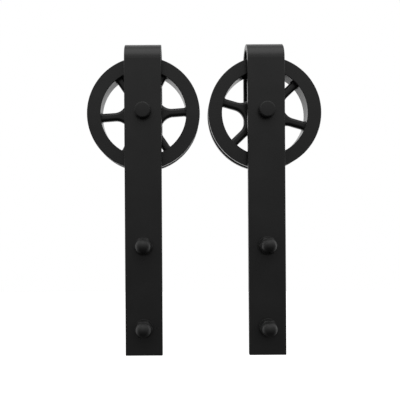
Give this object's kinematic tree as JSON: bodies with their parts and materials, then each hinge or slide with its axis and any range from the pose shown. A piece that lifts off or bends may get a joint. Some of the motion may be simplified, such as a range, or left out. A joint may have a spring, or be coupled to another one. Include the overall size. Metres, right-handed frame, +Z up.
{
  "type": "sliding barn door hanger pair",
  "caption": "Pair of black bent-strap hangers for a sliding barn door, each with a spoked grooved wheel on ball bearings and through bolts with domed nuts.",
  "frame": {"origin": "on the face of the left strap that bears on the door, midway between its two door bolts", "axes": "+X along the rail from the left hanger to the right one, +Y from the strap's front into the door, +Z up along the straps"},
  "size_m": [0.2566, 0.0784, 0.34],
  "materials": {
    "strap_powder_coat": "satin black powder coat on steel bar",
    "wheel_powder_coat": "satin black powder coat on cast iron, with fine orange peel",
    "black_fastener": "satin black coated steel fasteners",
    "bearing_steel": "ground bearing steel",
    "shield_steel": "pressed steel sheet",
    "cage_nylon": "moulded nylon",
    "nylon": "moulded nylon",
    "zinc_steel": "zinc plated turned steel"
  },
  "bodies": {
    "left_hanger": {"left_strap": "strap_powder_coat", "left_axle_bolt": "black_fastener", "left_axle_washer": "black_fastener", "left_axle_nut": "black_fastener", "left_axle_nut_insert": "nylon", "left_front_spacer": "zinc_steel", "left_rear_spacer": "zinc_steel", "left_bearing_sleeve": "zinc_steel", "left_front_bearing_inner_ring": "bearing_steel", "left_rear_bearing_inner_ring": "bearing_steel", "left_door_bolts": "black_fastener", "left_door_bolt_washers": "black_fastener", "left_cap_nuts": "black_fastener", "left_cap_nut_washers": "black_fastener"},
    "left_wheel": {"left_wheel": "wheel_powder_coat", "left_front_bearing_outer_ring": "bearing_steel", "left_rear_bearing_outer_ring": "bearing_steel", "left_front_bearing_shields": "shield_steel", "left_rear_bearing_shields": "shield_steel"},
    "left_front_ball_cage": {"left_front_bearing_balls": "bearing_steel", "left_front_bearing_cage": "cage_nylon"},
    "left_rear_ball_cage": {"left_rear_bearing_balls": "bearing_steel", "left_rear_bearing_cage": "cage_nylon"},
    "right_hanger": {"right_strap": "strap_powder_coat", "right_axle_bolt": "black_fastener", "right_axle_washer": "black_fastener", "right_axle_nut": "black_fastener", "right_axle_nut_insert": "nylon", "right_front_spacer": "zinc_steel", "right_rear_spacer": "zinc_steel", "right_bearing_sleeve": "zinc_steel", "right_front_bearing_inner_ring": "bearing_steel", "right_rear_bearing_inner_ring": "bearing_steel", "right_door_bolts": "black_fastener", "right_door_bolt_washers": "black_fastener", "right_cap_nuts": "black_fastener", "right_cap_nut_washers": "black_fastener"},
    "right_wheel": {"right_wheel": "wheel_powder_coat", "right_front_bearing_outer_ring": "bearing_steel", "right_rear_bearing_outer_ring": "bearing_steel", "right_front_bearing_shields": "shield_steel", "right_rear_bearing_shields": "shield_steel"},
    "right_front_ball_cage": {"right_front_bearing_balls": "bearing_steel", "right_front_bearing_cage": "cage_nylon"},
    "right_rear_ball_cage": {"right_rear_bearing_balls": "bearing_steel", "right_rear_bearing_cage": "cage_nylon"}
  },
  "joints": [
    {"name": "left_wheel_spin", "type": "hinge", "parent": "left_hanger", "child": "left_wheel", "pos_m": [0, 0.014, 0.1895], "axis": [0, 1, 0], "continuous": true},
    {"name": "left_front_cage_spin", "type": "hinge", "parent": "left_hanger", "child": "left_front_ball_cage", "pos_m": [0, 0.014, 0.1895], "axis": [0, 1, 0], "continuous": true},
    {"name": "left_rear_cage_spin", "type": "hinge", "parent": "left_hanger", "child": "left_rear_ball_cage", "pos_m": [0, 0.014, 0.1895], "axis": [0, 1, 0], "continuous": true},
    {"name": "hanger_spacing", "type": "slide", "parent": "left_hanger", "child": "right_hanger", "axis": [1, 0, 0], "range_m": [0, 0.767]},
    {"name": "right_wheel_spin", "type": "hinge", "parent": "right_hanger", "child": "right_wheel", "pos_m": [0.133, 0.014, 0.1895], "axis": [0, 1, 0], "continuous": true},
    {"name": "right_front_cage_spin", "type": "hinge", "parent": "right_hanger", "child": "right_front_ball_cage", "pos_m": [0.133, 0.014, 0.1895], "axis": [0, 1, 0], "continuous": true},
    {"name": "right_rear_cage_spin", "type": "hinge", "parent": "right_hanger", "child": "right_rear_ball_cage", "pos_m": [0.133, 0.014, 0.1895], "axis": [0, 1, 0], "continuous": true}
  ],
  "couplings": [
    {"joint": "left_front_cage_spin", "follows": "left_wheel_spin", "ratio": 0.6322},
    {"joint": "left_rear_cage_spin", "follows": "left_wheel_spin", "ratio": 0.6322},
    {"joint": "right_front_cage_spin", "follows": "right_wheel_spin", "ratio": 0.6322},
    {"joint": "right_rear_cage_spin", "follows": "right_wheel_spin", "ratio": 0.6322}
  ]
}
